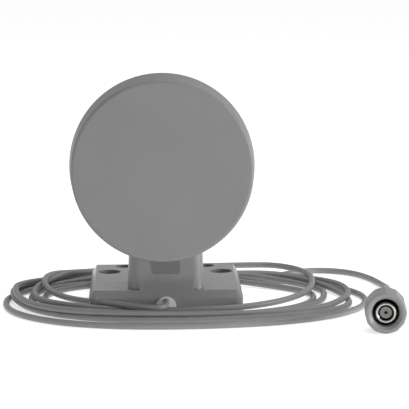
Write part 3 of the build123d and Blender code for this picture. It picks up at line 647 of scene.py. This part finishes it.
class ANTENNA_OT_sleeve(bpy.types.Operator):
    """Shrink a soft sleeve over the crimp and the lead's end"""
    bl_idname = "antenna.sleeve"
    bl_label = "Shrunk sleeve"

    def execute(self, context):
        place = along(PLUG_FRONT, PLUG_REAR)
        profile = [(18.5, 2.42), (18.5, 2.8), (18.7, 2.94), (19.1, 2.96), (20.6, 2.93), (22.4, 2.95),
                   (24.0, 2.93),
                   (24.9, 2.86), (25.7, 2.6), (26.4, 2.25), (27.1, 2.0), (27.8, 1.88), (29.0, 1.84),
                   (30.4, 1.87),
                   (31.8, 1.83), (33.0, 1.86), (33.7, 1.85), (33.95, 1.78), (34.0, 1.66), (34.0, 1.36)]
        outline = [(along_mm * MM, radius * MM) for along_mm, radius in profile]

        def folds(distance, angle, step):
            return 0.00003 * math.sin(9 * angle + distance * 900.0) * min(1.0, step / 3.0)

        vertices, faces = turned_rings(outline, place, 48, folds)
        finish = rubber("shrunk_sleeve", context.scene.antenna_lead.boot_colour, 0.55)
        sleeve = new_piece("shrunk_sleeve", vertices, faces, finish, "base_and_lead")
        thick = sleeve.modifiers.new("rounding", "SUBSURF")
        thick.levels = 1
        thick.render_levels = 1
        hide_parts("lead_boot")
        return {"FINISHED"}


class ANTENNA_OT_thread(bpy.types.Operator):
    """Cut the thread's ridge inside the coupling nut"""
    bl_idname = "antenna.thread"
    bl_label = "Nut thread"

    def execute(self, context):
        settings = context.scene.antenna_plug
        place = along(PLUG_FRONT, PLUG_REAR)
        steps = THREAD_STEPS
        count = settings.thread_turns * steps
        vertices, faces = [], []
        for index in range(count + 1):
            angle = 2 * math.pi * index / steps
            fade = min(1.0, index / steps, (count - index) / steps)
            centre = THREAD_START + settings.thread_pitch * index / steps
            crest = settings.thread_radius - settings.thread_depth * max(fade, 0.02)
            half = settings.thread_pitch * THREAD_FLANK
            for shift, radius in ((-half, settings.thread_radius), (-half * THREAD_CREST, crest),
                                  (half * THREAD_CREST, crest),
                                  (half, settings.thread_radius)):
                vertices.append(place @ Vector((radius * math.cos(angle), radius * math.sin(angle),
                                                centre + shift)))
        for index in range(count):
            for corner in range(4):
                after = (corner + 1) % 4
                low, high = index * 4, (index + 1) * 4
                faces.append((low + corner, low + after, high + after, high + corner))
        last = count * 4
        faces += [(3, 2, 1, 0), (last, last + 1, last + 2, last + 3)]
        finish = metal("thread_nickel", (0.35, 0.34, 0.32), 0.34)
        new_piece("nut_thread", vertices, faces, finish, "plug_nut")
        return {"FINISHED"}


class ANTENNA_OT_lip(bpy.types.Operator):
    """Roll the bright rounded edge of the plug's outer sleeve"""
    bl_idname = "antenna.lip"
    bl_label = "Sleeve lip"

    def execute(self, context):
        place = along(PLUG_FRONT, PLUG_REAR)
        outline = []
        for index in range(LIP_STEPS + 1):
            angle = math.pi * index / LIP_STEPS
            outline.append(((LIP_BACK - LIP_ROUND * math.sin(angle)) * MM,
                            (LIP_RADIUS - LIP_HALF * math.cos(angle)) * MM))
        vertices, faces = turned_rings(outline, place, LIP_SEGMENTS)
        finish = metal("lip_nickel", (0.5, 0.49, 0.47), 0.14, depth=0.000003)
        new_piece("sleeve_lip", vertices, faces, finish, "base_and_lead")
        return {"FINISHED"}


class ANTENNA_OT_plug(bpy.types.Operator):
    """Finish the plug's nut, body, contact and dielectric"""
    bl_idname = "antenna.plug"
    bl_label = "Plug"

    def execute(self, context):
        nut = context.scene.antenna_plug.nut_colour
        dress(["coupling_nut"], moulded_plastic("nut_plastic", nut, 0.4, 0.0006, 0.6, 0.5, 0.08))
        # Nickel painted very dark: painted shade for the body's ring inside the nut's bore, shared by the crimp
        # ferrule.
        dress(["plug_body", "crimp_ferrule"],
              metal("nickel_painted_shade", (0.13, 0.129, 0.125), 0.2, depth=0.000004))
        # Gold painted dark: painted shade for the contact deep in the plug's mouth.
        dress(["plug_contact"], metal("gold_painted_shade", (0.2, 0.17, 0.12), 0.3))
        dress(["nut_retainer"], metal("spring_bronze", (0.55, 0.38, 0.2), 0.3))
        dress(["plug_insulator"], moulded_plastic("dielectric", (0.2, 0.2, 0.2, 1.0), 0.45, 0.0005, 0.1))
        dress(["plug_gasket"], rubber("gasket_rubber", (0.012, 0.012, 0.012)))
        dress(["plug_lead"], lead_jacket("plug_lead_jacket", context.scene.antenna_lead.jacket_colour))
        return {"FINISHED"}


class ANTENNA_PT_panel(bpy.types.Panel):
    """Lists the antenna's finishes and pieces"""
    bl_label = "Patch Antenna"
    bl_idname = "ANTENNA_PT_panel"
    bl_space_type = "VIEW_3D"
    bl_region_type = "UI"
    bl_category = "Antenna"

    def draw(self, context):
        scene = context.scene
        for group in (scene.antenna_stage, scene.antenna_plastic, scene.antenna_lead, scene.antenna_plug):
            box = self.layout.box()
            for name in group.__annotations__:
                box.prop(group, name)
        column = self.layout.column(align=True)
        for operator in OPERATORS:
            column.operator(operator.bl_idname)


SETTINGS = {
    "antenna_stage": StageSettings,
    "antenna_plastic": PlasticSettings,
    "antenna_lead": LeadSettings,
    "antenna_plug": PlugSettings,
}
OPERATORS = [
    ANTENNA_OT_stage,
    ANTENNA_OT_drum,
    ANTENNA_OT_stand,
    ANTENNA_OT_hinge,
    ANTENNA_OT_elements,
    ANTENNA_OT_sleeve,
    ANTENNA_OT_thread,
    ANTENNA_OT_lip,
    ANTENNA_OT_plug,
    ANTENNA_OT_lead,
]


def register():
    for group in SETTINGS.values():
        bpy.utils.register_class(group)
    for name, group in SETTINGS.items():
        setattr(bpy.types.Scene, name, bpy.props.PointerProperty(type=group))
    for operator in OPERATORS:
        bpy.utils.register_class(operator)
    bpy.utils.register_class(ANTENNA_PT_panel)


def unregister():
    bpy.utils.unregister_class(ANTENNA_PT_panel)
    for operator in reversed(OPERATORS):
        bpy.utils.unregister_class(operator)
    for name, group in SETTINGS.items():
        delattr(bpy.types.Scene, name)
        bpy.utils.unregister_class(group)


def main():
    register()
    bpy.ops.antenna.stage()
    bpy.ops.antenna.drum()
    bpy.ops.antenna.stand()
    bpy.ops.antenna.hinge()
    bpy.ops.antenna.elements()
    bpy.ops.antenna.sleeve()
    bpy.ops.antenna.thread()
    bpy.ops.antenna.lip()
    bpy.ops.antenna.plug()
    bpy.ops.antenna.lead()
    bpy.context.view_layer.update()


if __name__ == "__main__":
    main()
